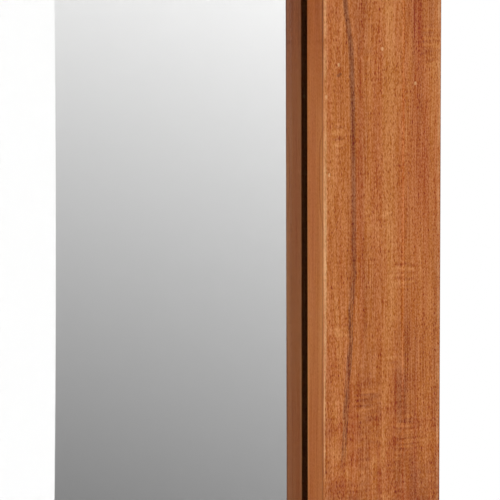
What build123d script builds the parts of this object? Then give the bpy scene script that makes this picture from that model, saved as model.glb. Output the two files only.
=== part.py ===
from build123d import *
import os

os.makedirs("parts", exist_ok=True)

# A wall mirror in a solid wood frame, with a shelf and two drawers under the glass.
# Millimetres. X runs to the viewer's right, Y into the wall and Z up. The back of the
# frame is the plane Y = 0, and the origin lies between the two hanging keyholes.

# Glass and frame
mirror_width = 480.0
mirror_height = 560.0
stile_width = 60.0
top_rail_height = 60.0
middle_rail_face = 60.0
middle_rail_drop = 30.0
bottom_rail_height = 40.0
lip_depth = 13.0
glass_ledge = 10.0
backing_ledge = 12.0
glass_thickness = 4.0
glass_seam = 0.4
tape_thickness = 1.4
backing_thickness = 3.0
backing_inset = 0.5
hanging_drop = 90.0

# Tenons, in shares of the wood that holds them
tenon_share = 0.5
tenon_length = 40.0
tenon_setback = 10.0
mortise_room = 1.0

# Drawer case
case_height = 120.0
case_depth = 128.0
shelf_thickness = 18.0
shelf_overhang = 6.0
floor_thickness = 18.0
side_thickness = 18.0
divider_thickness = 18.0
housing_depth = 5.0
housing_stop = 12.0
case_back_ledge = 10.0

# Drawers
drawer_rear_room = 8.0
front_thickness = 18.0
drawer_side_thickness = 10.0
drawer_back_thickness = 10.0
drawer_bottom_thickness = 4.0
bottom_height = 8.0
bottom_groove = 5.0
front_lap = 5.0
back_drop = 4.0
side_tails = 3
back_tails = 2
tail_share = 0.6
tail_slope = 0.14

# Turned knob, its profile in shares of its length and head
knob_radius = 13.0
knob_length = 22.0
knob_foot_radius = 8.0
knob_neck_radius = 5.5
knob_foot_share = 0.1
knob_neck_share = 0.3
knob_head_share = 0.56
knob_rim_share = 0.24
knob_edge_share = 0.9
knob_screw_cover = 10.0

# Drawer stops
stop_width = 60.0
stop_length = 12.0
stop_height = 5.0

# Keyhole plates
plate_length = 50.0
plate_width = 20.0
plate_thickness = 2.0
keyhole_radius = 4.75
keyhole_slot = 5.0
keyhole_travel = 12.0
pocket_depth = 12.0
pocket_margin = 2.0

# Foam tape
tape_width = 20.0
tape_strips = 4
tape_margin = 40.0

# Fasteners: shank radius, head radius and length of each kind
small_shank = 1.4
small_head = 2.8
small_length = 12.0
plate_screw_length = 15.0
case_shank = 2.2
case_head = 4.5
case_screw_length = 50.0
knob_shank = 2.0
knob_head = 4.5
knob_head_height = 2.5
knob_head_flat = 0.7
dowel_radius = 3.0
dowel_length = 30.0
dowels_per_joint = 2
side_backing_screws = 3
end_backing_screws = 2
case_back_screws = 2
shelf_screws = 3
side_screws = 2
floor_screws = 3
bottom_screws = 2

# Clearances
joint_gap = 0.1
seat_gap = 0.3
pane_gap = 1.0
backing_gap = 0.5
screw_gap = 0.15
plate_gap = 0.3
front_gap = 1.0
side_gap = 1.0
top_gap = 1.5

# Small chamfer on edges that a hand or eye meets
edge_ease = 0.6

# Places that follow from the sizes above
half_opening = mirror_width / 2
half_width = half_opening + stile_width
half_glass_bed = half_opening + glass_ledge
half_backing_bed = half_glass_bed + backing_ledge
frame_thickness = (
    lip_depth + joint_gap + glass_thickness + tape_thickness + backing_thickness + backing_inset
)
frame_front = -frame_thickness
lip_back = frame_front + lip_depth
backing_front = -(backing_inset + backing_thickness)
case_front = frame_front - case_depth
top = hanging_drop
opening_top = top - top_rail_height
opening_bottom = opening_top - mirror_height
shelf_top = opening_bottom - middle_rail_face
shelf_under = shelf_top - shelf_thickness
bottom = shelf_top - case_height
floor_top = bottom + floor_thickness
middle_rail_bottom = shelf_top - middle_rail_drop
bottom_rail_top = bottom + bottom_rail_height
tenon_thickness = lip_depth * tenon_share
tenon_front = frame_front + (lip_depth - tenon_thickness) / 2
tenon_depths = (tenon_front, tenon_front + tenon_thickness)
side_inner = half_width - side_thickness
drawer_bay = side_inner - divider_thickness / 2
drawer_mid = (side_inner + divider_thickness / 2) / 2
drawer_width = drawer_bay - 2 * side_gap
front_back = case_front + front_thickness
drawer_rear = frame_front - drawer_rear_room
drawer_low = floor_top + seat_gap
drawer_high = shelf_under - top_gap
panel_low = drawer_low + bottom_height
panel_high = panel_low + drawer_bottom_thickness
knob_height = (floor_top + shelf_under) / 2
plate_x = (half_backing_bed + half_width) / 2


def block(x, y, z):
    """A box given by its low and high limits along each axis."""
    size = [span[1] - span[0] for span in (x, y, z)]
    middle = [(span[1] + span[0]) / 2 for span in (x, y, z)]
    return Pos(*middle) * Box(*size)


def grown(span, gap):
    return (span[0] - gap, span[1] + gap)


def spaced(count, low, high):
    """Places of a row with half a step left free at each end."""
    step = (high - low) / count
    return [low + step * (i + 0.5) for i in range(count)]


def front_of(shape, y):
    """The edges that lie in the front face of a board."""
    return shape.edges().filter_by_position(Axis.Y, y - joint_gap, y + joint_gap)


def mirrored(shape):
    return mirror(shape, about=Plane.YZ)


def screw(shank, head, length, gap=0.0):
    """A countersunk screw that points to -Y from the origin. A gap makes it the hole for one."""
    outline = Polyline(
        (0, 0),
        (head + gap, 0),
        (shank + gap, shank - head),
        (shank + gap, -length - gap),
        (0, -length - gap),
        close=True,
    )
    return revolve(make_face(outline), Axis.Y)


def placed(shape, places):
    return [Pos(*place) * shape for place in places]


def save(name, *solids):
    shapes = [solid for shape in solids for solid in shape.solids()]
    whole = shapes[0] if len(shapes) == 1 else Compound(children=shapes)
    whole.label = name
    export_step(whole, f"parts/{name}.step")


# Frame

def opening_ease():
    """The cutter that takes the front arris off all round the mirror's opening."""
    front = Plane(origin=(0, frame_front, (opening_top + opening_bottom) / 2), z_dir=(0, 1, 0))
    mouth = front * Rectangle(mirror_width + 2 * edge_ease, mirror_height + 2 * edge_ease)
    throat = front.offset(edge_ease) * Rectangle(mirror_width, mirror_height)
    return loft([mouth.face(), throat.face()])


def rail(low, high, low_ledges, high_ledges):
    """A rail with rebates at its back and stepped shoulders that fill the stiles' rebates.

    Each pair of ledges holds the width of the deep rebate and that of the shallow one.
    """
    face_x = half_opening - joint_gap
    deep_x = half_glass_bed - joint_gap
    shallow_x = half_backing_bed - joint_gap
    tenon_x = half_opening + tenon_length
    lip = block((-face_x, face_x), (frame_front, lip_back), (low, high))
    core = block(
        (-deep_x, deep_x), (lip_back, backing_front), (low + low_ledges[0], high - high_ledges[0])
    )
    rear = block(
        (-shallow_x, shallow_x), (backing_front, 0), (low + low_ledges[1], high - high_ledges[1])
    )
    tenons = block((-tenon_x, tenon_x), tenon_depths, tenon_span(low, high))
    return lip + core + rear + tenons


def tenon_span(low, high):
    return (low + tenon_setback, high - tenon_setback)


rail_spans = {
    "top_rail": (opening_top, top),
    "middle_rail": (middle_rail_bottom, opening_bottom),
    "bottom_rail": (bottom, bottom_rail_top),
}
glass_ledges = (glass_ledge, glass_ledge + backing_ledge)
panel_ledges = (0.0, case_back_ledge)
no_ledges = (0.0, 0.0)

shelf_screw_height = (shelf_top + shelf_under) / 2
floor_screw_height = (bottom + floor_top) / 2
shelf_screw_places = [
    (x, 0, shelf_screw_height) for x in spaced(shelf_screws, -half_opening, half_opening)
]
floor_screw_places = [
    (x, 0, floor_screw_height) for x in spaced(floor_screws, -half_opening, half_opening)
]
side_screw_x = half_width - side_thickness / 2
side_screw_places = [
    (sign * side_screw_x, 0, z) for sign in (-1, 1) for z in spaced(side_screws, floor_top, shelf_under)
]

pane_backing_low = opening_bottom - glass_ledge - backing_ledge
pane_backing_high = opening_top + glass_ledge + backing_ledge
ledge_x = (half_glass_bed + half_backing_bed) / 2
ledge_low = opening_bottom - glass_ledge - backing_ledge / 2
ledge_high = opening_top + glass_ledge + backing_ledge / 2
backing_screw_places = [
    (sign * ledge_x, -backing_inset, z)
    for sign in (-1, 1)
    for z in spaced(side_backing_screws, opening_bottom, opening_top)
] + [
    (x, -backing_inset, z)
    for z in (ledge_low, ledge_high)
    for x in spaced(end_backing_screws, -half_opening, half_opening)
]
panel_screw_places = [
    (x, -backing_inset, z)
    for z in (middle_rail_bottom + case_back_ledge / 2, bottom_rail_top - case_back_ledge / 2)
    for x in spaced(case_back_screws, -half_opening, half_opening)
]
small_screw_places = backing_screw_places + panel_screw_places

plate_middle = keyhole_travel / 2
plate_screw_heights = [
    plate_middle - plate_length / 2 + small_head + pocket_margin,
    plate_middle + plate_length / 2 - small_head - pocket_margin,
]
plate_screw_places = [(sign * plate_x, 0, z) for sign in (-1, 1) for z in plate_screw_heights]

case_screw_places = shelf_screw_places + floor_screw_places + side_screw_places
small_kind = (small_shank, small_head, small_length)
plate_kind = (small_shank, small_head, plate_screw_length)
case_kind = (case_shank, case_head, case_screw_length)
small_holes = placed(screw(*small_kind, screw_gap), small_screw_places)
plate_holes = placed(screw(*plate_kind, screw_gap), plate_screw_places)
case_holes = placed(screw(*case_kind, screw_gap), case_screw_places)
frame_holes = small_holes + plate_holes + case_holes


def keyhole_recess():
    """Room for the right plate in the stile's back, and behind it for the wall screw's head."""
    back = Plane(origin=(plate_x, 0, 0), z_dir=(0, -1, 0), x_dir=(1, 0, 0))
    seat = back * Pos(0, plate_middle) * Rot(0, 0, 90) * SlotOverall(
        plate_length + 2 * plate_gap, plate_width + 2 * plate_gap
    )
    pocket = back * Pos(0, plate_middle) * Rot(0, 0, 90) * SlotOverall(
        keyhole_travel + 2 * (keyhole_radius + pocket_margin), 2 * (keyhole_radius + pocket_margin)
    )
    return extrude(seat, plate_thickness) + extrude(pocket, pocket_depth)


def stile():
    """The right stile: a stepped section run the full height, mortised for the three rails."""
    section = make_face(
        Polyline(
            (half_opening, frame_front),
            (half_width, frame_front),
            (half_width, 0),
            (half_backing_bed, 0),
            (half_backing_bed, backing_front),
            (half_glass_bed, backing_front),
            (half_glass_bed, lip_back),
            (half_opening, lip_back),
            close=True,
        )
    )
    board = Pos(0, 0, bottom) * extrude(section, top - bottom)
    front_edges = front_of(board, frame_front)
    outer = front_edges.sort_by(Axis.X)[-1]
    head = front_edges.sort_by(Axis.Z)[-1]
    board = chamfer([outer, head], edge_ease)
    for low, high in rail_spans.values():
        board -= block(
            (half_opening - tenon_length, half_opening + tenon_length + mortise_room),
            grown(tenon_depths, joint_gap),
            grown(tenon_span(low, high), joint_gap),
        )
    board -= opening_ease()
    board -= keyhole_recess()
    return board - frame_holes


def frame():
    right = stile()
    save("stile_right", right)
    save("stile_left", mirrored(right))
    ledges = {
        "top_rail": (glass_ledges, no_ledges),
        "middle_rail": (panel_ledges, glass_ledges),
        "bottom_rail": (no_ledges, panel_ledges),
    }
    for name, (low, high) in rail_spans.items():
        board = rail(low, high, *ledges[name]) - opening_ease()
        if name == "top_rail":
            head = front_of(board, frame_front).sort_by(Axis.Z)[-1]
            board = chamfer(head, edge_ease)
        save(name, board - frame_holes)


# Glass and backing

def glazing():
    pane = block(
        (-half_glass_bed + pane_gap, half_glass_bed - pane_gap),
        (lip_back + joint_gap, lip_back + joint_gap + glass_thickness),
        (opening_bottom - glass_ledge + seat_gap, opening_top + glass_ledge - pane_gap),
    )
    save("mirror_pane", chamfer(pane.edges(), glass_seam))
    strips = [
        block(
            (x - tape_width / 2, x + tape_width / 2),
            (lip_back + joint_gap + glass_thickness, backing_front),
            (opening_bottom + tape_margin, opening_top - tape_margin),
        )
        for x in spaced(tape_strips, -half_opening, half_opening)
    ]
    save("mirror_tape", *strips)
    backing = block(
        (-half_backing_bed + backing_gap, half_backing_bed - backing_gap),
        (backing_front, -backing_inset),
        (pane_backing_low + backing_gap, pane_backing_high - backing_gap),
    )
    save("backing_board", backing - small_holes)
    panel = block(
        (-half_backing_bed + backing_gap, half_backing_bed - backing_gap),
        (backing_front, -backing_inset),
        (
            bottom_rail_top - case_back_ledge + backing_gap,
            middle_rail_bottom + case_back_ledge - backing_gap,
        ),
    )
    save("case_back", panel - small_holes)
    save("backing_screws", *placed(screw(*small_kind), small_screw_places))


# Hanging plates

def hanging():
    back = Plane(origin=(plate_x, 0, 0), z_dir=(0, -1, 0), x_dir=(1, 0, 0))
    outline = back * Pos(0, plate_middle) * Rot(0, 0, 90) * SlotOverall(plate_length, plate_width)
    entry = back * Circle(keyhole_radius)
    slot = back * Pos(0, plate_middle) * Rot(0, 0, 90) * SlotOverall(
        keyhole_travel + keyhole_slot, keyhole_slot
    )
    plate = extrude(outline - entry - slot, plate_thickness)
    plate -= plate_holes
    save("keyhole_plate_right", plate)
    save("keyhole_plate_left", mirrored(plate))
    save("plate_screws", *placed(screw(*plate_kind), plate_screw_places))


# Drawer case

dowel_depths = spaced(dowels_per_joint, case_front, frame_front)
shelf_dowels = [(sign * side_screw_x, y, shelf_under) for sign in (-1, 1) for y in dowel_depths]
floor_dowels = [
    (sign * side_inner, y, floor_screw_height) for sign in (-1, 1) for y in dowel_depths
]


def dowels(gap=0.0):
    peg = Cylinder(dowel_radius + gap, dowel_length + 2 * gap)
    upright = [Pos(*place) * peg for place in shelf_dowels]
    level = [Pos(*place) * Rot(0, 90, 0) * peg for place in floor_dowels]
    return upright + level


def shelf_board():
    edge = half_width + shelf_overhang
    front = case_front - shelf_overhang
    board = block((-edge, edge), (front, frame_front), (shelf_under, shelf_top))
    seen = board.edges().filter_by(lambda e: e.center().Y < frame_front - joint_gap)
    board = chamfer(seen, edge_ease)
    return board - housing(shelf_under, shelf_under + housing_depth)


def housing(low, high):
    """The stopped groove that takes the divider's end."""
    half = divider_thickness / 2 + joint_gap
    return block(
        (-half, half), (case_front + housing_stop, frame_front), grown((low, high), joint_gap)
    )


def floor_board():
    edge = side_inner - joint_gap
    board = block((-edge, edge), (case_front, frame_front), (bottom, floor_top))
    board = chamfer(front_of(board, case_front).filter_by(Axis.X), edge_ease)
    return board - housing(floor_top - housing_depth, floor_top)


def case_side():
    """The right side, dowelled up into the shelf board and across into the floor board."""
    board = block(
        (side_inner, half_width), (case_front, frame_front), (bottom, shelf_under - joint_gap)
    )
    front = front_of(board, case_front)
    foot = board.edges().filter_by(Axis.Y).sort_by(Axis.Z)[:2]
    return chamfer(front.filter_by(Axis.Z) + front.sort_by(Axis.Z)[:1] + foot, edge_ease)


def divider():
    half = divider_thickness / 2
    full = block(
        (-half, half), (case_front, frame_front), grown((floor_top, shelf_under), -joint_gap)
    )
    ends = block(
        (-half, half),
        (case_front + housing_stop + joint_gap, frame_front),
        (floor_top - housing_depth, shelf_under + housing_depth),
    )
    return full + ends


def case():
    holes = case_holes + dowels(joint_gap)
    side = case_side() - holes
    save("shelf_board", shelf_board() - holes)
    save("case_floor", floor_board() - holes)
    save("case_side_right", side)
    save("case_side_left", mirrored(side))
    save("case_divider", divider())
    save("case_dowels", *dowels())
    save("case_screws", *placed(screw(*case_kind), case_screw_places))


def stop_block(middle):
    return block(
        (middle - stop_width / 2, middle + stop_width / 2),
        (front_back + seat_gap, front_back + seat_gap + stop_length),
        (floor_top, floor_top + stop_height),
    )


# Dovetailed drawers

def tails(root, tip, low, high, count, x_inner, x_outer, gap=0.0):
    """A row of dovetails that widen from their root to their tip, cut along X.

    Each starts one joint gap behind its root, where the board's own end lies. A gap makes
    them the sockets for such a row.
    """
    way = 1 if tip > root else -1
    pitch = (high - low) / count
    half_tip = pitch * tail_share / 2
    half_root = half_tip - abs(tip - root) * tail_slope
    shapes = []
    for z in spaced(count, low, high):
        face = make_face(
            Polyline(
                (root - way * 2 * joint_gap, z - half_root - gap),
                (root - way * 2 * joint_gap, z + half_root + gap),
                (tip + way * gap, z + half_tip + gap),
                (tip + way * gap, z - half_tip - gap),
                close=True,
            )
        )
        shapes.append(Pos(x_inner, 0, 0) * extrude(Plane.YZ * face, x_outer - x_inner))
    return shapes


def drawer(side_name, middle):
    half = drawer_width / 2
    inner = half - drawer_side_thickness
    groove_x = inner + bottom_groove
    groove_z = grown((panel_low, panel_high), joint_gap)
    front_tails = (front_back, case_front + front_lap, drawer_low, drawer_high, side_tails)
    rear_root = drawer_rear - drawer_back_thickness
    rear_tails = (rear_root, drawer_rear, panel_high, drawer_high - back_drop, back_tails)

    side = block(
        (inner, half), (front_back + joint_gap, rear_root - joint_gap), (drawer_low, drawer_high)
    )
    side += block(
        (inner, half), (rear_root - 2 * joint_gap, drawer_rear), (drawer_low, panel_high)
    )
    side += tails(*front_tails, inner, half)
    side += tails(*rear_tails, inner, half)
    side -= block((inner, groove_x), (case_front, drawer_rear), groove_z)

    front = block((-half, half), (case_front, front_back), (floor_top + front_gap, drawer_high))
    front = chamfer(front_of(front, case_front), edge_ease)
    back = block(
        (-half, half), (rear_root, drawer_rear), (panel_high + joint_gap, drawer_high - back_drop)
    )
    for sign in (-1, 1):
        near = (sign * (inner - joint_gap), sign * (half + joint_gap))
        front -= tails(*front_tails, *near, joint_gap)
        back -= tails(*rear_tails, *near, joint_gap)
    front -= block(
        (-groove_x, groove_x), (front_back - bottom_groove, front_back + joint_gap), groove_z
    )

    shelf = half - drawer_side_thickness + bottom_groove - seat_gap
    panel = block(
        (-shelf, shelf), (front_back - bottom_groove + seat_gap, drawer_rear), (panel_low, panel_high)
    )
    pin_places = [
        (x, (rear_root + drawer_rear) / 2, panel_low) for x in spaced(bottom_screws, -inner, inner)
    ]
    pins = placed(Rot(-90, 0, 0) * screw(*small_kind), pin_places)
    pin_holes = placed(Rot(-90, 0, 0) * screw(*small_kind, screw_gap), pin_places)
    knob_line = Pos(0, front_back, knob_height)
    bolt = knob_line * knob_screw()
    bolt_hole = knob_line * knob_screw(screw_gap)
    turned = Pos(0, case_front, knob_height) * knob()

    pieces = {
        "front": [front - bolt_hole],
        "side_right": [side],
        "side_left": [mirrored(side)],
        "back": [back - pin_holes],
        "bottom": [panel - pin_holes],
        "bottom_screws": pins,
        "knob": [turned - bolt_hole],
        "knob_screw": [bolt],
    }
    for piece, solids in pieces.items():
        save(f"{side_name}_drawer_{piece}", *[Pos(middle, 0, 0) * solid for solid in solids])
    save(f"{side_name}_drawer_stop", stop_block(middle))


def knob_screw(gap=0.0):
    """A round headed screw from inside the drawer, through its front and into the knob."""
    length = front_thickness + knob_length - knob_screw_cover
    outline = make_face(
        Polyline(
            (0, knob_head_height),
            (knob_head * knob_head_flat, knob_head_height),
            (knob_head, knob_head_height / 2),
            (knob_head, 0),
            (knob_shank + gap, 0),
            (knob_shank + gap, -length - gap),
            (0, -length - gap),
            close=True,
        )
    )
    return revolve(outline, Axis.Y)


def knob():
    """A knob turned from one piece of wood: foot, hollowed neck and domed head."""
    head_low = -knob_length * knob_head_share
    head_high = head_low - knob_length * knob_rim_share
    edge_radius = knob_radius * knob_edge_share
    foot = Line((0, 0), (knob_foot_radius, 0))
    rim = Line(foot @ 1, (knob_foot_radius, -knob_length * knob_foot_share))
    waist = (knob_neck_radius, -knob_length * knob_neck_share)
    neck = ThreePointArc(rim @ 1, waist, (edge_radius, head_low))
    girth = (knob_radius, (head_low + head_high) / 2)
    edge = ThreePointArc(neck @ 1, girth, (edge_radius, head_high))
    crown = TangentArc((0, -knob_length), edge @ 1, tangent=(1, 0))
    centre = Line((0, -knob_length), (0, 0))
    return revolve(make_face([foot, rim, neck, edge, crown, centre]), Axis.Y)


frame()
glazing()
hanging()
case()
drawer("left", -drawer_mid)
drawer("right", drawer_mid)
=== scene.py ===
import math

import bmesh
import bpy
from mathutils import Matrix, Vector

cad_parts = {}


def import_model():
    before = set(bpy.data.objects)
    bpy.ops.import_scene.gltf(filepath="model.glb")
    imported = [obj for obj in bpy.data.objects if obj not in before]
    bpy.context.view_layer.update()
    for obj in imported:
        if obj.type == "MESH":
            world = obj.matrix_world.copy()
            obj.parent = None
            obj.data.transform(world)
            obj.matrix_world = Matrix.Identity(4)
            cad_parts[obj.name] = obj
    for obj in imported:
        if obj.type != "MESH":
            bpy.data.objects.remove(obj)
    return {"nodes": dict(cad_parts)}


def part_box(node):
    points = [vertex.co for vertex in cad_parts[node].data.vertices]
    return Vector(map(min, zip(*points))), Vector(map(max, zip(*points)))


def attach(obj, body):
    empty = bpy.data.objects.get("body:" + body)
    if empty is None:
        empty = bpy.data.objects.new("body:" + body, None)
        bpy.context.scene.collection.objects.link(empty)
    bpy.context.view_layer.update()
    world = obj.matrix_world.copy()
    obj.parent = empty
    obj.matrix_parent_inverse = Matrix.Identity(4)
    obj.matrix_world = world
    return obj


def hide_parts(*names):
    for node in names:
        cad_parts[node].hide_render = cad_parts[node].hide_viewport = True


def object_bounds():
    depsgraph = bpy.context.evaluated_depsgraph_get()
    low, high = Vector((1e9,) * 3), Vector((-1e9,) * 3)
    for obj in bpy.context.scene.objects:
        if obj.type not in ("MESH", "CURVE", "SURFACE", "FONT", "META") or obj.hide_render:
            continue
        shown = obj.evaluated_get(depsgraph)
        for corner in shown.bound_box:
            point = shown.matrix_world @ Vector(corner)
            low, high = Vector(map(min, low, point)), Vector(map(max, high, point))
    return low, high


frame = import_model()
cad_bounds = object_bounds()

# Metres, in the part's own frame: X to the viewer's right, Y into the wall, Z up.
# Materials measure their patterns in millimetres.
MM = 0.001
PER_METRE = 1000.0

# The least light that each channel of a shifted colour keeps
LEAST_LIGHT = 0.004


def srgb(red, green, blue):
    """A colour written in the 0 to 255 values of a picture, as linear light."""
    linear = []
    for value in (red, green, blue):
        share = value / 255
        linear.append(share / 12.92 if share <= 0.04045 else ((share + 0.055) / 1.055) ** 2.4)
    return (*linear, 1.0)


# Node trees written as formulas

class Field:
    """A number that varies over a surface. Sums and products of fields make math nodes."""

    def __init__(self, graph, socket):
        self.graph = graph
        self.socket = socket

    def __add__(self, other):
        return self.graph.math("ADD", self, other)

    def __sub__(self, other):
        return self.graph.math("SUBTRACT", self, other)

    def __rsub__(self, other):
        return self.graph.math("SUBTRACT", other, self)

    def __mul__(self, other):
        return self.graph.math("MULTIPLY", self, other)

    def __truediv__(self, other):
        return self.graph.math("DIVIDE", self, other)

    def __pow__(self, other):
        return self.graph.math("POWER", self, other)

    def __abs__(self):
        return self.graph.math("ABSOLUTE", self)

    __radd__ = __add__
    __rmul__ = __mul__


class Graph:
    """The node tree of one material or of the world."""

    def __init__(self, tree):
        self.tree = tree
        tree.nodes.clear()

    def add(self, kind, inputs=None, **settings):
        node = self.tree.nodes.new("ShaderNode" + kind)
        for name, value in settings.items():
            setattr(node, name, value)
        for name, value in (inputs or {}).items():
            self.put(node.inputs[name], value)
        return node

    def put(self, socket, value):
        if isinstance(value, Field):
            value = value.socket
        if isinstance(value, bpy.types.NodeSocket):
            self.tree.links.new(value, socket)
        else:
            socket.default_value = value

    def math(self, operation, *values):
        node = self.add("Math", dict(enumerate(values)), operation=operation)
        return Field(self, node.outputs[0])

    def least(self, *values):
        result = values[0]
        for value in values[1:]:
            result = self.math("MINIMUM", result, value)
        return result

    def most(self, *values):
        result = values[0]
        for value in values[1:]:
            result = self.math("MAXIMUM", result, value)
        return result

    def split(self, socket):
        node = self.add("SeparateXYZ", {"Vector": socket})
        return [Field(self, output) for output in node.outputs]

    def vector(self, x, y, z):
        return self.add("CombineXYZ", {"X": x, "Y": y, "Z": z}).outputs[0]

    def rise(self, value, low, high, bottom=0.0, top=1.0):
        """Goes smoothly from bottom to top as value goes from low to high."""
        inputs = {"Value": value, "From Min": low, "From Max": high, "To Min": bottom, "To Max": top}
        node = self.add("MapRange", inputs, interpolation_type="SMOOTHSTEP")
        return Field(self, node.outputs[0])

    def hill(self, value, middle, half_width):
        """One at middle, down to nothing half_width away on either side."""
        return self.rise(abs(value - middle), 0.0, half_width, 1.0, 0.0)

    def noise(self, place, detail=2.0, rough=0.5):
        inputs = {"Vector": place, "Scale": 1.0, "Detail": detail, "Roughness": rough}
        return Field(self, self.add("TexNoise", inputs).outputs["Fac"])

    def cells(self, place):
        """How far the nearest of many scattered points is, and a number of its own."""
        node = self.add("TexVoronoi", {"Vector": place, "Scale": 1.0})
        own = self.split(node.outputs["Color"])[0]
        return Field(self, node.outputs["Distance"]), own

    def curve(self, value, points):
        """A smooth curve through (value, result) points, level past both ends."""
        low, high = points[0][0], points[-1][0]
        results = [result for _, result in points]
        bottom, span = min(results), max(max(results) - min(results), 1e-6)
        node = self.add("FloatCurve", {"Value": (value - low) / (high - low)})
        line = node.mapping.curves[0]
        while len(line.points) < len(points):
            line.points.new(0.5, 0.5)
        for spot, (at, result) in zip(line.points, points):
            spot.location = ((at - low) / (high - low), (result - bottom) / span)
            spot.handle_type = "AUTO_CLAMPED"
        node.mapping.use_clip = True
        node.mapping.update()
        return Field(self, node.outputs[0]) * span + bottom

    def ramp(self, value, stops):
        node = self.add("ValToRGB", {"Fac": value})
        line = node.color_ramp
        while len(line.elements) < len(stops):
            line.elements.new(0.5)
        for element, (at, colour) in zip(line.elements, stops):
            element.position = at
            element.color = colour
        return node.outputs["Color"]

    def mixed(self, under, over, share, blend="MIX"):
        node = self.add("MixRGB", {"Fac": share, "Color1": under, "Color2": over}, blend_type=blend)
        return node.outputs["Color"]

    def shifted(self, colour, amount, step):
        """The colour made lighter or darker by an amount of steps."""
        change = self.add("VectorMath", {0: step, "Scale": amount}, operation="SCALE")
        total = self.add("VectorMath", {0: colour, 1: change.outputs[0]}, operation="ADD")
        least = (LEAST_LIGHT,) * 3
        kept = self.add("VectorMath", {0: total.outputs[0], 1: least}, operation="MAXIMUM")
        return kept.outputs[0]

    def bump(self, height, strength, depth, under=None):
        """A normal from a height of 0 to 1, whose full rise is depth millimetres."""
        inputs = {"Height": height, "Strength": strength, "Distance": depth * MM}
        if under is not None:
            inputs["Normal"] = under
        return self.add("Bump", inputs).outputs["Normal"]


def material(name):
    made = bpy.data.materials.new(name)
    made.use_nodes = True
    graph = Graph(made.node_tree)
    graph.material = made
    return graph


def finish(graph, **inputs):
    """Ends a material in one Principled shader. Words in a socket's name are joined by _."""
    named = {name.replace("_", " "): value for name, value in inputs.items()}
    shader = graph.add("BsdfPrincipled", named)
    graph.add("OutputMaterial", {"Surface": shader.outputs[0]})
    return graph.material


def places(graph):
    """X, Y and Z on the part at rest, in millimetres. They stay with a piece that moves."""
    found = graph.split(graph.add("TexCoord").outputs["Object"])
    return [value * PER_METRE for value in found]


# Wood

# Colours of the wood from its dark streaks to its light ones, and of its pores and worn edges.
# The worn edges' colour also paints a highlight along the right stile's outer edge.
WOOD_DARK = srgb(118, 60, 27)
WOOD_BROWN = srgb(160, 88, 41)
WOOD_BODY = srgb(187, 112, 56)
WOOD_LIGHT = srgb(210, 141, 82)
WOOD_RED = srgb(172, 82, 42)
WOOD_PORE = srgb(112, 52, 22)
WOOD_WORN_AND_HIGHLIGHT = srgb(232, 180, 130)
VEIN_COLOUR = srgb(98, 46, 28)

# What one step of brightness, the same in all three colours of a picture, is in linear light
# on a brown like this one
EVEN_STEP = (1.4, 0.84, 0.52)

AXES = {"X": 0, "Y": 1, "Z": 2}

# How far one seed's pattern lies from the next one's, in millimetres, along the grain and
# in the two directions across it
SEED_STEPS = (431.7, 83.1, 57.9)


class Board:
    """Where a point lies in a board: along its grain, across it, and from its edges."""

    def __init__(self, graph, node, grain, seed):
        self.graph = graph
        self.place = places(graph)
        low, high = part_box(node)
        reach = []
        for axis, value in enumerate(self.place):
            near = value - low[axis] * PER_METRE
            far = high[axis] * PER_METRE - value
            reach.append(graph.least(near, far))
        total = reach[0] + reach[1] + reach[2]
        self.edge = total - graph.least(*reach) - graph.most(*reach)
        along = AXES[grain]
        across = [axis for axis in range(3) if axis != along]
        self.u = self.place[along] + seed * SEED_STEPS[0]
        self.v = self.place[across[0]] + seed * SEED_STEPS[1]
        self.w = self.place[across[1]] + seed * SEED_STEPS[2]
        facing = graph.split(graph.add("TexCoord").outputs["Normal"])[along]
        self.end_grain = graph.rise(abs(facing), 0.6, 0.9)

    def at(self, length, width, sway=0.0):
        """A place for a pattern whose marks are about this long and this wide."""
        v = (self.v + sway) / width
        w = (self.w + sway) / width
        return self.graph.vector(self.u / length, v, w)


def figure(board):
    """The wood's figure, by name.

    Its tone goes from 0, dark, to 1, light. Its hue is how red it is, its pores are open
    ends of vessels, and its grain is how much lighter the finest fibres make it.
    """
    graph = board.graph
    sway = (graph.noise(board.at(190, 48), 1.0) - 0.5) * 9.0
    bands = graph.noise(board.at(430, 15, sway), 2.0)
    streaks = graph.noise(board.at(90, 2.6, sway), 3.0, 0.6)
    patches = graph.noise(board.at(46, 20), 2.0)
    ripples = graph.noise(board.at(2.4, 9), 1.0)
    rippled = graph.rise(patches, 0.5, 0.66)
    tone = 0.585 + 0.5 * (bands - 0.5) + 0.5 * (streaks - 0.5) + 0.3 * (patches - 0.5)
    tone = tone + 0.4 * rippled * (ripples - 0.5)
    hue = graph.rise(graph.noise(board.at(90, 4.5, sway + 31.0), 2.0), 0.4, 0.68)
    gap, own = graph.cells(board.at(2.3, 0.44, sway))
    crowd = graph.rise(bands + 0.8 * (patches - 0.5), 0.36, 0.62, 0.3, 0.85)
    open_pore = graph.rise(own - crowd, -0.05, 0.05, 1.0, 0.0)
    pores = graph.rise(gap, 0.16, 0.44, 1.0, 0.0) * open_pore
    fibres = graph.noise(board.at(24, 0.55, sway), 1.0) - 0.5
    specks = graph.noise(board.at(0.95, 0.48), 1.0) - 0.5
    grain = 0.26 * fibres + 0.31 * specks - 0.1 * pores
    return {"tone": tone, "hue": hue, "pores": pores, "grain": grain}


def wood_colour(board, looks, worn):
    graph = board.graph
    stops = [(0.05, WOOD_DARK), (0.34, WOOD_BROWN), (0.6, WOOD_BODY), (0.95, WOOD_LIGHT)]
    colour = graph.ramp(looks["tone"], stops)
    colour = graph.mixed(colour, WOOD_RED, looks["hue"] * 0.27)
    colour = graph.mixed(colour, WOOD_PORE, looks["pores"] * 0.2)
    # Worn edges, and on the right stile also a painted highlight along its outer edge.
    colour = graph.mixed(colour, WOOD_WORN_AND_HIGHLIGHT, worn)
    colour = graph.shifted(colour, looks["grain"], EVEN_STEP)
    return graph.mixed(colour, WOOD_DARK, board.end_grain * 0.45)


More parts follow.
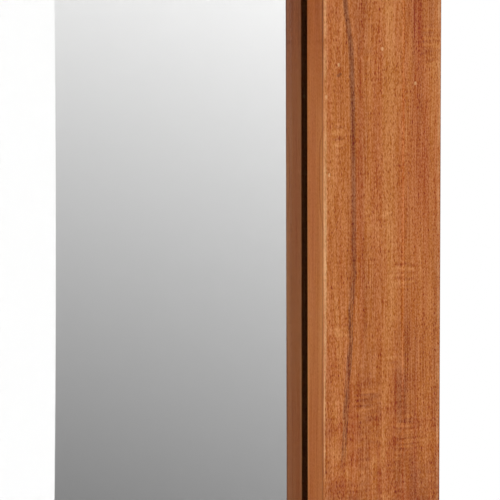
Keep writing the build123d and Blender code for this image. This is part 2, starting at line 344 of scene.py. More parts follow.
def edge_wear(board, reach=1.1, most=0.5):
    """Paler wood where hands and cloths have rubbed the edges, uneven along them."""
    graph = board.graph
    ragged = graph.noise(board.at(14, 2.2), 3.0, 0.65)
    spared = graph.noise(board.at(70, 30), 1.0)
    worn = graph.rise(board.edge - ragged * reach * 1.6, -reach, reach * 0.35, 1.0, 0.0)
    return worn * graph.rise(spared, 0.38, 0.6) * most


def wood_end(board, colour, looks):
    """The satin of oiled wood, duller in its pores, with its fibres just to be felt."""
    graph = board.graph
    rough = 0.42 + 0.5 * looks["grain"] + 0.2 * looks["pores"]
    height = 0.5 + 1.2 * looks["grain"] + 0.2 * looks["tone"] - 0.5 * looks["pores"]
    normal = graph.bump(height, 0.3, 0.1)
    return finish(
        graph, Base_Color=colour, Roughness=rough, Normal=normal, IOR=1.45, Specular_IOR_Level=0.3
    )


def frame_wood(node, grain, seed):
    graph = material(f"wood_{node}")
    board = Board(graph, node, grain, seed)
    looks = figure(board)
    return wood_end(board, wood_colour(board, looks, edge_wear(board)), looks)


# The right stile's faces, in millimetres
STILE_INNER = 240.0
STILE_OUTER = 300.0
STILE_FRONT = -22.0
REBATE_FRONT = -9.0

# The marks that it shows. The vein and the line down the inner face are (Z, place across),
# and the rest are (X, Z). Those of the rippled places come with their half width and height.
VEIN = [
    (-710, 247), (-420, 246), (-350, 249.5), (-337, 250.3), (-316, 251.8), (-295, 253.4),
    (-273, 254.4), (-252, 255.3), (-200, 254.8), (-173, 254.1), (-160, 252.7), (-147, 250.9),
    (-60, 246), (90, 244),
]
INNER_LINE = [
    (-710, -24), (-262, -22.6), (-237, -19.9), (-218, -18.4), (-205, -19.8), (-190, -22.4),
    (90, -24),
]
PALE_FLECKS = [(241.5, -187.8), (243.0, -220.4), (269.6, -167.9), (247.8, -174.5), (286.2, -182.5)]
PALE_FLECK_SIZE = (0.75, 1.0)
DARK_FLECKS = [(248.4, -178.4), (247.6, -179.0)]
DARK_FLECK_SIZE = (1.1, 0.8)
RIPPLED = [
    ((293.0, -166.5), (7.5, 10.0)), ((274.0, -299.0), (5.0, 5.5)), ((247.5, -205.0), (4.0, 9.0)),
    ((281.0, -262.7), (8.0, 9.0)), ((248.0, -286.0), (6.0, 7.0)), ((262.0, -320.0), (9.0, 10.0)),
    ((283.0, -334.0), (9.0, 10.0)),
]
DARK_PATCH = (279.0, -316.0)
DARK_PATCH_SIZE = (4.8, 16.0)
DARK_FOOT = (249.5, -361.0)
DARK_FOOT_SIZE = (12.0, 13.0)

# How much each mark lightens the wood, or darkens it where the number is below nothing
MARK_TONES = {
    "beside_vein": 0.06,
    "light_band": 0.03,
    "line": -0.06,
    "red_band": -0.12,
    "step": -0.045,
    "patch": -0.11,
    "foot": -0.16,
    "low": -0.045,
    "head": -0.04,
    "upper_edge": 0.09,
    "lower_edge": -0.13,
}

# How much redder each mark makes it
MARK_HUES = {"red_band": 0.8, "red_streak": 0.5, "line": 0.15}


def away_from(x, z, spot, size):
    """How far a point is from a spot: the square of its share of the spot's size."""
    return ((x - spot[0]) / size[0]) ** 2 + ((z - spot[1]) / size[1]) ** 2


def stile_marks(board, looks):
    """The dark vein and the bands beside it, which bend together down the board.

    The rises over z are where a mark fades in, in millimetres. Side is how far a point is
    from the vein.
    """
    graph = board.graph
    x, y, z = board.place
    front = graph.rise(y, STILE_FRONT + 2.2, STILE_FRONT + 1.2)
    bend = graph.curve(z, VEIN)
    wander = (graph.noise(graph.vector(z / 6, 0.0, 3.0), 2.0) - 0.5) * 1.6
    side = x - bend - wander * graph.rise(z, -200, -280, 0.3, 1.0)
    uneven = graph.noise(graph.vector(x / 0.9, 8.0, z / 7), 2.0, 0.6) - 0.5
    split = graph.noise(graph.vector(side / 0.5, 0.0, z / 16), 1.0)
    soft = graph.rise(abs(side), 0.5, 1.9, 1.0, 0.0)
    strands = graph.rise(abs(side), 0.9, 1.9, 1.0, 0.0) * graph.rise(split, 0.6, 0.46)
    upper = graph.rise(z, -285, -240)
    present = graph.rise(z, -352, -330)
    strength = 0.2 + 0.32 * upper + 0.16 * graph.rise(z, -215, -180) + 0.7 * uneven
    vein = (soft * strength + 0.5 * strands * (1.0 - upper)) * present * front
    mottle = graph.noise(graph.vector(x / 2.5, y / 2.5, z / 7), 3.0, 0.6)
    jagged = (graph.noise(graph.vector(x / 9, 1.0, z / 2.2), 2.0) - 0.5) * 4.0
    red_streak = graph.hill(side, 3.6, 4.2) * graph.rise(z, -262, -235) * graph.rise(mottle, 0.38, 0.56)
    line = graph.hill(side, 4.0, 0.8) * graph.rise(z, -225, -205) * 0.8
    red_band = graph.hill(side, 35.0, 6.0) * graph.rise(z, -258, -215)
    light_band = graph.hill(side, 16.5, 7.5) * graph.rise(mottle, 0.34, 0.5)
    step = graph.rise(x + jagged * 0.25, 275.2, 276.4) * graph.rise(z, -276, -290)
    away = away_from(x, z, DARK_PATCH, DARK_PATCH_SIZE)
    patch = graph.rise(away + jagged * 0.09, 0.1, 1.0, 1.0, 0.0) * step
    away = away_from(x, z, DARK_FOOT, DARK_FOOT_SIZE)
    foot = graph.rise(away + jagged * 0.12, 0.1, 1.0, 1.0, 0.0)
    low = graph.rise(z, -280, -335)
    cross = graph.noise(graph.vector(x / 7, 0.0, z / 1.7), 1.0) - 0.5
    blotch = graph.noise(graph.vector(x / 11, 4.0, z / 9), 2.0) - 0.5
    masks = {
        "beside_vein": graph.hill(side, 0.0, 7.0),
        "light_band": light_band,
        "line": line,
        "red_band": red_band,
        "red_streak": red_streak,
        "step": step,
        "patch": patch,
        "foot": foot,
        "low": low,
        "head": graph.rise(z, -190, -150),
        "upper_edge": graph.rise(x, 287, 294) * graph.hill(z, -188, 36),
        "lower_edge": graph.rise(side, 32, 38) * graph.rise(z, -336, -352),
    }
    marks = low * (0.28 * cross + 0.42 * blotch)
    for name, amount in MARK_TONES.items():
        marks = marks + amount * masks[name]
    looks["tone"] = looks["tone"] + marks * front
    for name, amount in MARK_HUES.items():
        looks["hue"] = looks["hue"] + amount * masks[name] * front
    looks["hue"] = looks["hue"] + (0.1 + 0.6 * graph.rise(blotch, 0.03, -0.12)) * low * front
    return vein


def patches_of(graph, x, z, spots, size):
    """One at the spots, which are all of one size, and nothing elsewhere."""
    total = None
    for spot in spots:
        mask = graph.rise(away_from(x, z, spot, size), 0.3, 1.0, 1.0, 0.0)
        total = mask if total is None else graph.most(total, mask)
    return total


def inner_face(board, looks):
    """The face that looks at the glass: planed smooth, streaked, and given painted shade towards the
    top.
    """
    graph = board.graph
    x, y, z = board.place
    here = graph.rise(x, STILE_INNER + 0.5, STILE_INNER + 0.1)
    streak = graph.noise(graph.vector(0.0, y / 2.6, z / 150), 2.0) - 0.5
    red = graph.hill(y, -13.5, 4.0)
    line = graph.hill(y - graph.curve(z, INNER_LINE), 0.0, 0.75)
    # Painted shade: the top of the inner face is made darker.
    top = graph.rise(z, -205, -150)
    middle = graph.rise(z, -320, -260)
    tone = 0.1 + 0.08 * middle + 0.7 * streak - 0.3 * line - 0.32 * top
    looks["tone"] = looks["tone"] + here * tone
    looks["hue"] = looks["hue"] + here * (0.3 + 0.9 * red)
    looks["pores"] = looks["pores"] * (1.0 - 0.8 * here)
    looks["grain"] = looks["grain"] * (1.0 - 0.6 * here)
    return here


def stile_wear_and_painted_light(board, here):
    """Where the stile is pale: its worn arris beside the glass, a painted highlight along its outer
    edge, and its flecks.

    The second result is where it is dark: a darker line on the inner face just behind the arris,
    painted shade on the chamfer at the outer edge, and painted shade in the rebate.
    """
    graph = board.graph
    x, y, z = board.place
    corner = graph.most(x - STILE_INNER, 0.0) + graph.most(y - STILE_FRONT, 0.0)
    ragged = graph.noise(graph.vector(x / 0.7, y / 0.7, z / 3.2), 3.0, 0.7) - 0.5
    kept = graph.noise(graph.vector(7.0, 0.0, z / 18), 2.0)
    bare = graph.rise(z, -200, -228) * graph.rise(z, -352, -338) * 0.32
    bare = bare + graph.rise(kept, 0.42, 0.6) * 0.26 + 0.04
    width = graph.rise(z, -320, -280, 1.5, 2.3)
    arris = graph.rise(corner + ragged * 1.6 - width, 0.4, -0.4) * bare
    arris = arris * graph.rise(x, STILE_INNER - 0.1, STILE_INNER + 0.7, 0.45, 1.0)
    arris = arris + graph.rise(corner, 3.6, 1.0) * 0.1
    # Painted highlight: a pale line along the outer edge, where its rounded arris catches the light.
    outer = graph.rise(graph.noise(graph.vector(1.0, 0.0, z / 13)), 0.36, 0.6)
    outer = outer * graph.hill(x, STILE_OUTER - 1.6, 1.0)
    flecks = patches_of(graph, x, z, PALE_FLECKS, PALE_FLECK_SIZE)
    rubbed = graph.most(edge_wear(board, most=0.3), arris) * (1.0 - 0.75 * here)
    pale = graph.most(rubbed, outer * 0.32, flecks * 0.55)
    # A darker line painted down the inner face just behind the arris, stronger towards the top.
    inner_dark_line = graph.hill(y, STILE_FRONT + 1.0, 0.8) * here
    inner_dark_line = inner_dark_line * (0.35 + 0.5 * graph.rise(z, -200, -165))
    # Painted shade: the chamfer at the outer edge, turned away from the light, is darkened.
    rim = graph.rise(x, STILE_OUTER - 0.9, STILE_OUTER - 0.5) * 0.55
    # Painted shade: the rebate behind the glass, which gets little light, is darkened.
    rebate = graph.rise(y, REBATE_FRONT - 0.2, REBATE_FRONT + 0.1) * graph.rise(y, -0.1, -0.4)
    rebate = rebate * graph.rise(x, STILE_OUTER - 10.0, STILE_OUTER - 20.0) * 0.6
    return pale, graph.most(inner_dark_line, rim, rebate)


def right_stile_wood(node, seed):
    graph = material(f"wood_{node}")
    board = Board(graph, node, "Z", seed)
    x, _, z = board.place
    looks = figure(board)
    vein = stile_marks(board, looks)
    for spot, size in RIPPLED:
        here = patches_of(graph, x, z, [spot], size)
        wave = graph.noise(graph.vector(x / 16, 0.0, z / 1.8), 1.0) - 0.5
        looks["tone"] = looks["tone"] + here * wave * 0.9
    # pale holds the worn arris, the flecks and a painted highlight along the outer edge; dark holds
    # painted shade on the outer chamfer and in the rebate, and a darker line behind the arris.
    pale, dark = stile_wear_and_painted_light(board, inner_face(board, looks))
    colour = wood_colour(board, looks, pale)
    colour = graph.mixed(colour, VEIN_COLOUR, vein * 0.9)
    colour = graph.shifted(colour, looks["grain"] * vein * 0.7, EVEN_STEP)
    flecks = patches_of(graph, x, z, DARK_FLECKS, DARK_FLECK_SIZE)
    colour = graph.mixed(colour, VEIN_COLOUR, flecks * 0.5)
    # Painted shade and the dark line, mixed in as the darkest wood colour.
    colour = graph.mixed(colour, WOOD_DARK, dark)
    return wood_end(board, colour, looks)


# Mirror

def box_mesh(low, high):
    """An unlinked mesh builder that holds a box between two corners."""
    shape = bmesh.new()
    bmesh.ops.create_cube(shape, size=1.0)
    for vertex in shape.verts:
        for axis in range(3):
            vertex.co[axis] = high[axis] if vertex.co[axis] > 0 else low[axis]
    return shape


def piece(name, shape, body, materials):
    """A new object from a mesh builder, riding on a body."""
    mesh = bpy.data.meshes.new(name)
    bmesh.ops.recalc_face_normals(shape, faces=shape.faces[:])
    shape.to_mesh(mesh)
    shape.free()
    made = bpy.data.objects.new(name, mesh)
    bpy.context.scene.collection.objects.link(made)
    for entry in materials:
        mesh.materials.append(entry)
    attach(made, body)
    return made


SEAM = 0.4 * MM
SILVER_THICKNESS = 0.06 * MM
SILVER_GAP = 0.02 * MM

# How much light the silver returns: less than real silver, so that the frame seen in it comes out
# darker, which is painted shade on the reflected wood. The studio's world gives back what it takes
# away.
MIRROR_SHINE = 0.56
PAINT_DARK = srgb(96, 104, 106)
PAINT_LIGHT = srgb(118, 124, 124)


def glass():
    graph = material("mirror_glass")
    return finish(
        graph,
        Base_Color=(1.0, 1.0, 1.0, 1.0),
        Roughness=0.0,
        IOR=1.52,
        Specular_IOR_Level=0.0,
        Specular_Tint=(0.3, 0.3, 0.3, 1.0),
        Transmission_Weight=1.0,
    )


def silver():
    graph = material("mirror_silver")
    bloom = graph.noise(graph.vector(*[value / 90 for value in places(graph)]), 2.0)
    # The dim silver darkens the frame's reflection: painted shade.
    bright = (MIRROR_SHINE, MIRROR_SHINE, MIRROR_SHINE, 1.0)
    dull = (MIRROR_SHINE * 0.99, MIRROR_SHINE * 0.99, MIRROR_SHINE * 0.985, 1.0)
    colour = graph.mixed(bright, dull, bloom)
    return finish(graph, Base_Color=colour, Metallic=1.0, Roughness=0.0)


def backing_paint():
    graph = material("mirror_back_paint")
    x, y, z = places(graph)
    rolled = graph.noise(graph.vector(x / 1.5, y, z / 4), 3.0)
    colour = graph.mixed(PAINT_DARK, PAINT_LIGHT, rolled)
    normal = graph.bump(rolled, 0.3, 0.1)
    return finish(graph, Base_Color=colour, Roughness=0.5 + 0.2 * rolled, Normal=normal)


def mirror():
    """The pane: clear glass with ground seams, and the silver and its paint behind it."""
    low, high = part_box("mirror_pane")
    back = high.y - SILVER_GAP - SILVER_THICKNESS
    shape = box_mesh(low, (high.x, back, high.z))
    bmesh.ops.bevel(shape, geom=shape.edges[:], offset=SEAM, segments=2, profile=0.5, affect="EDGES")
    pane = piece("mirror_glass_pane", shape, "frame", [glass()])
    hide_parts("mirror_pane")
    near = (low.x + SEAM, back + SILVER_GAP, low.z + SEAM)
    shape = box_mesh(near, (high.x - SEAM, high.y, high.z - SEAM))
    for face in shape.faces:
        face.normal_update()
        face.material_index = 0 if face.normal.y < -0.5 else 1
    coat = piece("mirror_silver_coat", shape, "frame", [silver(), backing_paint()])
    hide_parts("mirror_pane")


# Materials of the other pieces

PALE_DARK = srgb(184, 146, 100)
PALE_LIGHT = srgb(214, 182, 138)
PALE_WORN = srgb(232, 208, 172)
VENEER_DARK = srgb(206, 172, 126)
VENEER_LIGHT = srgb(228, 202, 162)
VENEER_PORE = srgb(176, 138, 92)
PLY_DARK = srgb(150, 108, 66)
FIBRE_DARK = srgb(104, 70, 42)
FIBRE_LIGHT = srgb(142, 102, 66)
FIBRE_CLOUD = srgb(90, 60, 36)
FOAM_DARK = srgb(206, 206, 200)
FOAM_LIGHT = srgb(232, 232, 226)
PLATE_TINT = (176, 180, 184)
SCREW_TINT = (168, 166, 158)

# The middle ply of a drawer's bottom and its half thickness, in millimetres from below
PLY_MIDDLE = 2.0
PLY_HALF = 0.75


def pale_wood(node, grain, seed):
    """The plain secondary wood of the drawers' insides and the dowels."""
    graph = material(f"pale_wood_{node}")
    board = Board(graph, node, grain, seed)
    sway = (graph.noise(board.at(160, 40), 1.0) - 0.5) * 8.0
    rings = graph.noise(board.at(420, 4.2, sway), 2.0)
    fibres = graph.noise(board.at(20, 0.7, sway), 2.0, 0.6)
    tone = graph.rise(0.65 * rings + 0.35 * fibres, 0.36, 0.64)
    colour = graph.mixed(PALE_DARK, PALE_LIGHT, tone)
    colour = graph.mixed(colour, PALE_DARK, board.end_grain * 0.4)
    colour = graph.mixed(colour, PALE_WORN, edge_wear(board, 0.8, 0.4))
    normal = graph.bump(fibres, 0.3, 0.1)
    return finish(graph, Base_Color=colour, Roughness=0.5 + 0.15 * fibres, Normal=normal, IOR=1.46)


def plywood(node):
    """Birch veneer, with the dark middle ply to be seen on the edges of the sheet."""
    graph = material(f"plywood_{node}")
    board = Board(graph, node, "Y", 5)
    low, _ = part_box(node)
    depth = board.place[2] - low.z * PER_METRE
    grain = graph.noise(board.at(140, 6), 3.0, 0.55)
    pores = graph.noise(board.at(6, 0.5), 2.0, 0.6)
    colour = graph.mixed(VENEER_DARK, VENEER_LIGHT, graph.rise(grain, 0.38, 0.62))
    colour = graph.mixed(colour, VENEER_PORE, graph.rise(pores, 0.6, 0.72) * 0.5)
    ply = graph.hill(depth, PLY_MIDDLE, PLY_HALF)
    up = abs(graph.split(graph.add("TexCoord").outputs["Normal"])[2])
    colour = graph.mixed(colour, PLY_DARK, ply * graph.rise(up, 0.5, 0.3) * 0.7)
    return finish(graph, Base_Color=colour, Roughness=0.55, Normal=graph.bump(pores, 0.25, 0.08))


# How fast the wire mesh that hardboard is pressed on repeats, in radians a millimetre
MESH_TURN = 3.4


def hardboard(node):
    """Pressed brown fibre, flecked and slightly meshed."""
    graph = material(f"hardboard_{node}")
    x, y, z = places(graph)
    cloud = graph.noise(graph.vector(x / 45, y / 45, z / 45), 3.0)
    flecks = graph.noise(graph.vector(x / 0.9, y / 0.9, z / 0.9), 3.0, 0.7)
    mesh = graph.math("SINE", x * MESH_TURN) * graph.math("SINE", z * MESH_TURN)
    colour = graph.mixed(FIBRE_DARK, FIBRE_LIGHT, graph.rise(flecks, 0.36, 0.66))
    colour = graph.mixed(colour, FIBRE_CLOUD, graph.rise(cloud, 0.4, 0.75) * 0.22)
    normal = graph.bump(0.7 * flecks + 0.12 * mesh, 0.5, 0.16)
    return finish(graph, Base_Color=colour, Roughness=0.72 + 0.1 * flecks, Normal=normal)


def foam(node):
    """Closed cells of about half a millimetre, each a little lighter or darker."""
    graph = material(f"foam_{node}")
    gap, own = graph.cells(graph.vector(*[value / 0.5 for value in places(graph)]))
    colour = graph.mixed(FOAM_DARK, FOAM_LIGHT, own)
    return finish(graph, Base_Color=colour, Roughness=0.9, Normal=graph.bump(gap, 0.6, 0.2))


def zinc(name, tint):
    """Plated steel: spangled, brushed along its length and duller where it is handled."""
    graph = material(name)
    x, y, z = places(graph)
    _, own = graph.cells(graph.vector(x / 3.2, y / 3.2, z / 3.2))
    brushed = graph.noise(graph.vector(x / 0.25, y / 0.25, z / 9), 2.0, 0.6)
    dark = srgb(*[value * 0.8 for value in tint])
    colour = graph.mixed(dark, srgb(*tint), 0.35 + 0.5 * own)
    rough = 0.26 + 0.14 * own + 0.12 * brushed
    normal = graph.bump(brushed, 0.15, 0.04)
    return finish(graph, Base_Color=colour, Metallic=1.0, Roughness=rough, Normal=normal)


def knob_wood(node, seed):
    """Turned wood whose grain runs out of the drawer, with faint tool rings round it."""
    graph = material(f"wood_{node}")
    board = Board(graph, node, "Y", seed)
    x, y, z = board.place
    low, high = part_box(node)
    middle = (low + high) * PER_METRE / 2
    radius = ((x - middle.x) ** 2 + (z - middle.z) ** 2) ** 0.5
    looks = figure(board)
    rings = graph.noise(graph.vector(radius / 0.9, y / 0.9, 0.0), 1.0) - 0.5
    handled = graph.rise(radius, 9.0, 12.5) * 0.12
    looks["tone"] = looks["tone"] + 0.2 * rings + handled
    board.end_grain = board.end_grain * 0.5
    return wood_end(board, wood_colour(board, looks, 0.0), looks)


def dress(node, made):
    """Gives a CAD node its material."""
    part = frame["nodes"][node]
    part.data.materials.clear()
    part.data.materials.append(made)


# Screws

# Shares of a head's radius
RECESS_SHARE = 0.62
RECESS_WIDTH = 0.2
RECESS_DEPTH = 0.45
FACE_SHARE = 0.86

# Shares of the recess's mouth that its floor has
FLOOR_LONG = 0.55
FLOOR_WIDE = 0.7

# Shares of a shank's radius: its thread from turn to turn, the thread's root, and the tip.
# The crest and the root then lie at shares of a turn.
PITCH_SHARE = 0.9
ROOT_SHARE = 0.72
TIP_SHARE = 1.6
CREST_AT = 0.3
ROOT_AT = 0.75

HEAD_SIDES = 36
SAME_POINT = 0.01 * MM


def cross(long, wide):
    """The outline of a cross recess, corner by corner."""
    return [
        (wide, wide), (wide, long), (-wide, long), (-wide, wide), (-long, wide), (-long, -wide),
        (-wide, -wide), (-wide, -long), (wide, -long), (wide, -wide), (long, -wide), (long, wide),
    ]


def add_screw(shape, at, out, head, shank, length, dome, turn):
    """One screw: a crowned head with a cross recess, a cone under it, and a threaded shank.

    Without a dome it is countersunk, and at is the middle of its head's face. With one, at is
    the middle of the head's underside. The face looks along out.
    """
    up = Vector(out).normalized()
    side = up.orthogonal().normalized()
    other = up.cross(side)

    def point(a, b, c):
        swung = (a * math.cos(turn) - b * math.sin(turn), a * math.sin(turn) + b * math.cos(turn))
        return shape.verts.new(Vector(at) + side * swung[0] + other * swung[1] + up * c)

    def ring(radius, height):
        return [
            point(
                radius * math.cos(2 * math.pi * i / HEAD_SIDES),
                radius * math.sin(2 * math.pi * i / HEAD_SIDES),
                height,
            )
            for i in range(HEAD_SIDES)
        ]

    def wall(first, second):
        count = len(first)
        for i in range(count):
            j = (i + 1) % count
            shape.faces.new((first[i], first[j], second[j], second[i]))

    def loop(points):
        return [shape.edges.new((points[i], points[(i + 1) % len(points)])) for i in range(len(points))]

    long, wide = head * RECESS_SHARE, head * RECESS_WIDTH / 2
    mouth = [point(a, b, dome) for a, b in cross(long, wide)]
    small_cross = cross(long * FLOOR_LONG, wide * FLOOR_WIDE)
    floor = [point(a, b, dome - head * RECESS_DEPTH) for a, b in small_cross]
    face_ring = ring(head * FACE_SHARE, dome)
    bmesh.ops.triangle_fill(shape, use_beauty=True, edges=loop(mouth) + loop(face_ring))
    wall(mouth, floor)
    shape.faces.new(floor)
    if dome > 0:
        rings = [face_ring, ring(head * 0.97, dome * 0.55), ring(head, 0.0)]
    else:
        rings = [face_ring, ring(head * 0.96, -0.02 * head), ring(head, -0.08 * head)]
    rings.append(ring(shank, -(head - shank)) if dome == 0 else ring(shank, -0.0001))
    depth = head - shank if dome == 0 else shank
    pitch = shank * PITCH_SHARE
    steps = max(int((length - depth - 2 * shank) / pitch), 1)
    for step in range(steps):
        rings.append(ring(shank, -(depth + pitch * step + pitch * CREST_AT)))
        rings.append(ring(shank * ROOT_SHARE, -(depth + pitch * step + pitch * ROOT_AT)))
    rings.append(ring(shank * ROOT_SHARE, -(length - TIP_SHARE * shank)))
    for first, second in zip(rings, rings[1:]):
        wall(first, second)
    tip = point(0.0, 0.0, -length)
    last = rings[-1]
    for i in range(HEAD_SIDES):
        shape.faces.new((last[i], last[(i + 1) % HEAD_SIDES], tip))


def islands(node):
    """The boxes of a node's separate solids, found from its mesh."""
    shape = bmesh.new()
    shape.from_mesh(frame["nodes"][node].data)
    bmesh.ops.remove_doubles(shape, verts=shape.verts[:], dist=SAME_POINT)
    left = set(shape.verts)
    found = []
    while left:
        stack = [left.pop()]
        group = list(stack)
        while stack:
            vertex = stack.pop()
            for edge in vertex.link_edges:
                near = edge.other_vert(vertex)
                if near in left:
                    left.remove(near)
                    stack.append(near)
                    group.append(near)
        low = Vector([min(v.co[axis] for v in group) for axis in range(3)])
        high = Vector([max(v.co[axis] for v in group) for axis in range(3)])
        found.append((low, high))
    shape.free()
    return sorted(found, key=lambda box: [round(value, 4) for value in box[0]])


SMALL_SHANK = 1.4 * MM
CASE_SHANK = 2.2 * MM
KNOB_SHANK = 2.0 * MM
KNOB_DOME = 2.5 * MM

# How each screw's recess is turned: the first one's angle, and how much more each next one has
FIRST_TURN = 0.4
NEXT_TURN = 0.9


def screws(node, body, axis, way, shank, made, dome=0.0):
    """Detailed screws in the place of a node's plain ones. Their heads face axis, by way."""
    shape = bmesh.new()
    out = [0.0, 0.0, 0.0]
    out[axis] = way
    for index, (low, high) in enumerate(islands(node)):
        middle = (low + high) / 2
        face = high[axis] if way > 0 else low[axis]
        middle[axis] = face - way * dome
        across = (axis + 1) % 3
        head = (high[across] - low[across]) / 2
        length = high[axis] - low[axis] - dome
        turn = NEXT_TURN * index + FIRST_TURN
        add_screw(shape, middle, out, head, shank, length, dome, turn)
    made_piece = piece(f"{node}_turned", shape, body, [made])
    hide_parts(node)


# Stage

FLOOR_RADIUS = 1.4
FLOOR_SOLID = 0.75
FLOOR_FADED = FLOOR_RADIUS * 0.98
FLOOR_DROP = 0.4 * MM
FLOOR_SIDES = 96
FLOOR_GLOW = 0.2
FLOOR_DARK = srgb(232, 232, 230)
FLOOR_LIGHT = srgb(242, 242, 240)


def seen_share(graph):
    """One for what the camera sees, straight or in glass and metal, and nothing for light."""
    rays = graph.add("LightPath").outputs
    names = ("Is Camera Ray", "Is Glossy Ray", "Is Transmission Ray")
    return graph.most(*[Field(graph, rays[name]) for name in names])


def floor():
    """A pale disc under the part that fades out into the background."""
    low, _ = cad_bounds
    shape = bmesh.new()
    bmesh.ops.create_circle(shape, cap_ends=True, segments=FLOOR_SIDES, radius=FLOOR_RADIUS)
    mesh = bpy.data.meshes.new("floor")
    shape.to_mesh(mesh)
    shape.free()
    disc = bpy.data.objects.new("floor", mesh)
    disc.location = (0.0, 0.0, low[2] - FLOOR_DROP)
    bpy.context.scene.collection.objects.link(disc)
    graph = material("pale_floor")
    x, y, _ = places(graph)
    radius = ((x * x + y * y) ** 0.5) / PER_METRE
    grain = graph.noise(graph.vector(x / 4, y / 4, 0.0), 4.0, 0.6)
    colour = graph.mixed(FLOOR_DARK, FLOOR_LIGHT, grain)
    alpha = graph.rise(radius, FLOOR_SOLID, FLOOR_FADED, 1.0, 0.0)
    glow = seen_share(graph) * FLOOR_GLOW
    disc.data.materials.append(
        finish(
            graph,
            Base_Color=colour,
            Roughness=0.7,
            Alpha=alpha,
            Emission_Color=(1.0, 1.0, 1.0, 1.0),
            Emission_Strength=glow,
            Normal=graph.bump(grain, 0.1, 0.2),
        )
    )


# Camera, set to the photograph's viewing angle. Angles in degrees, lengths in millimetres.
AZIMUTH = 30.51
ELEVATION = 4.96
ROLL = -0.20
TARGET = (204.08, -22.0, -250.0)
DISTANCE = 900.0
FOCAL_PIXELS = 2194.3
PICTURE_PIXELS = 500
SENSOR = 36.0
CLIP_METRES = (0.05, 50.0)


def view_axes():
    """The camera's backward, right and up directions."""
    az, el, roll = math.radians(AZIMUTH), math.radians(ELEVATION), math.radians(ROLL)
    back = Vector((-math.sin(az) * math.cos(el), -math.cos(az) * math.cos(el), math.sin(el)))
    right = (-back).cross(Vector((0, 0, 1))).normalized()
    up = right.cross(-back)
    turned_right = right * math.cos(roll) + up * math.sin(roll)
    turned_up = up * math.cos(roll) - right * math.sin(roll)
    return back, turned_right, turned_up


def camera():
    back, right, up = view_axes()
    data = bpy.data.cameras.new("camera")
    data.sensor_width = SENSOR
    data.lens = FOCAL_PIXELS * SENSOR / PICTURE_PIXELS
    data.clip_start, data.clip_end = CLIP_METRES
    made = bpy.data.objects.new("camera", data)
    bpy.context.scene.collection.objects.link(made)
    place = (Vector(TARGET) + back * DISTANCE) * MM
    turn = Matrix((right, up, back)).transposed()
    made.matrix_world = Matrix.Translation(place) @ turn.to_4x4()
    bpy.context.scene.camera = made


# What the mirror shows: a studio wall that darkens downwards. Values are a picture's, 0 to 1,
# for each unit of direction away from the middle of the mirrored view.
REFLECTED_MIDDLE = 195.0 / 255
REFLECTED_PER_UP = 0.196 * FOCAL_PIXELS / 255
REFLECTED_PER_RIGHT = 0.077 * FOCAL_PIXELS / 255
REFLECTED_LEAST = 0.5
REFLECTED_MOST = 0.965
SIDE_WAVE = 0.1
SOFT_LIGHT = 0.62
PICTURE_GAMMA = 2.2

# The white panel that the mirror's left side shows, and how softly its two edges fade
WHITE_EDGE_PIXEL = 56.5
WHITE_STRIP = 0.06
NEAR_FADE = 0.0002
FAR_FADE = 0.002


def world():
    """White to the camera, the studio wall in mirrors and metal, and an even soft light."""
    made = bpy.data.worlds.new("studio")
    made.use_nodes = True
    bpy.context.scene.world = made
    graph = Graph(made.node_tree)
    direction = graph.add("TexCoord").outputs["Generated"]
    _, right, up = view_axes()

    def part_along(axis):
        flipped = (axis.x, -axis.y, axis.z)
        node = graph.add("VectorMath", {0: direction, 1: flipped}, operation="DOT_PRODUCT")
        return Field(graph, node.outputs["Value"])

    across = part_along(right)
    upward = part_along(up)
    sideways = graph.math("SINE", across * (REFLECTED_PER_RIGHT / SIDE_WAVE)) * SIDE_WAVE
    value = REFLECTED_MIDDLE + upward * REFLECTED_PER_UP + sideways
    value = graph.most(graph.least(value, REFLECTED_MOST), REFLECTED_LEAST)
    light = value ** PICTURE_GAMMA
    edge = (WHITE_EDGE_PIXEL - PICTURE_PIXELS / 2) / FOCAL_PIXELS
    strip = graph.rise(across, edge + NEAR_FADE, edge - NEAR_FADE)
    strip = strip * graph.rise(across, edge - WHITE_STRIP - FAR_FADE, edge - WHITE_STRIP)
    rays = graph.add("LightPath").outputs
    seen = Field(graph, rays["Is Camera Ray"])
    through = Field(graph, rays["Is Transmission Ray"])
    mirrored = graph.most(Field(graph, rays["Is Glossy Ray"]), through)
    # The world is lifted by what the dim silver takes, so only the frame's reflection keeps the painted
    # shade.
    silvered = 1.0 + through * (1.0 / MIRROR_SHINE - 1.0)
    light = (light + strip * (1.0 - light)) * silvered
    strength = mirrored * light + (1.0 - mirrored) * SOFT_LIGHT
    strength = seen + (1.0 - seen) * strength
    shader = graph.add("Background", {"Color": (1, 1, 1, 1), "Strength": strength})
    graph.add("OutputWorld", {"Surface": shader.outputs[0]})


KEY_PLACE = (-1.9, -2.0, 1.0)
KEY_AIM = (0.0, 0.0, -0.3)
KEY_SIZE = 1.4
KEY_POWER = 52.0


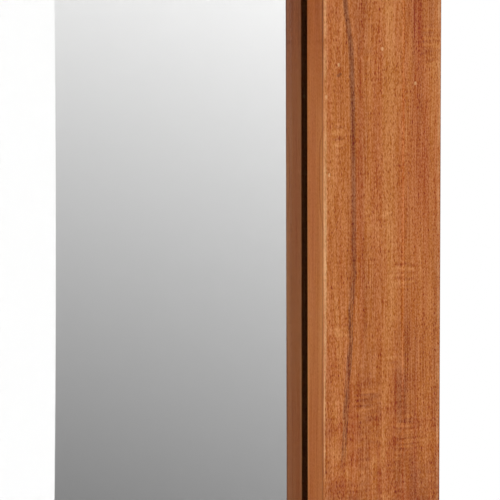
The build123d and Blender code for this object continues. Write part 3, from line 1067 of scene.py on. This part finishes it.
def key_light():
    data = bpy.data.lights.new("key", "AREA")
    data.shape = "SQUARE"
    data.size = KEY_SIZE
    data.energy = KEY_POWER
    lamp = bpy.data.objects.new("key", data)
    lamp.location = KEY_PLACE
    lamp.rotation_euler = (Vector(KEY_AIM) - Vector(KEY_PLACE)).to_track_quat("-Z", "Y").to_euler()
    lamp.visible_glossy = False
    lamp.visible_transmission = False
    bpy.context.scene.collection.objects.link(lamp)


# Dressing

mirror()
dress("stile_right", right_stile_wood("stile_right", 0))
FRAME_BOARDS = {
    "stile_left": "Z",
    "top_rail": "X",
    "middle_rail": "X",
    "bottom_rail": "X",
    "shelf_board": "X",
    "case_floor": "X",
    "case_side_left": "Z",
    "case_side_right": "Z",
    "case_divider": "Z",
}
for number, (node, grain) in enumerate(FRAME_BOARDS.items(), 1):
    dress(node, frame_wood(node, grain, number))
dress("backing_board", hardboard("backing_board"))
dress("case_back", hardboard("case_back"))
dress("mirror_tape", foam("mirror_tape"))
dress("case_dowels", pale_wood("case_dowels", "Z", 3))
for side in ("left", "right"):
    dress(f"keyhole_plate_{side}", zinc(f"zinc_keyhole_plate_{side}", PLATE_TINT))
for number, side in enumerate(("left", "right"), 11):
    dress(f"{side}_drawer_front", frame_wood(f"{side}_drawer_front", "X", number))
    dress(f"{side}_drawer_stop", frame_wood(f"{side}_drawer_stop", "X", number + 2))
    dress(f"{side}_drawer_knob", knob_wood(f"{side}_drawer_knob", number + 4))
    dress(f"{side}_drawer_back", pale_wood(f"{side}_drawer_back", "X", number))
    dress(f"{side}_drawer_bottom", plywood(f"{side}_drawer_bottom"))
    for wall in ("left", "right"):
        node = f"{side}_drawer_side_{wall}"
        dress(node, pale_wood(node, "Y", number + (3 if wall == "left" else 5)))

steel = zinc("screw_steel", SCREW_TINT)
screws("backing_screws", "frame", 1, 1, SMALL_SHANK, steel)
screws("plate_screws", "frame", 1, 1, SMALL_SHANK, steel)
screws("case_screws", "frame", 1, 1, CASE_SHANK, steel)
for side in ("left", "right"):
    screws(f"{side}_drawer_bottom_screws", f"{side}_drawer", 2, -1, SMALL_SHANK, steel)
    screws(f"{side}_drawer_knob_screw", f"{side}_drawer", 1, 1, KNOB_SHANK, steel, KNOB_DOME)

floor()
camera()
world()
key_light()
bpy.context.scene.view_settings.view_transform = "Standard"
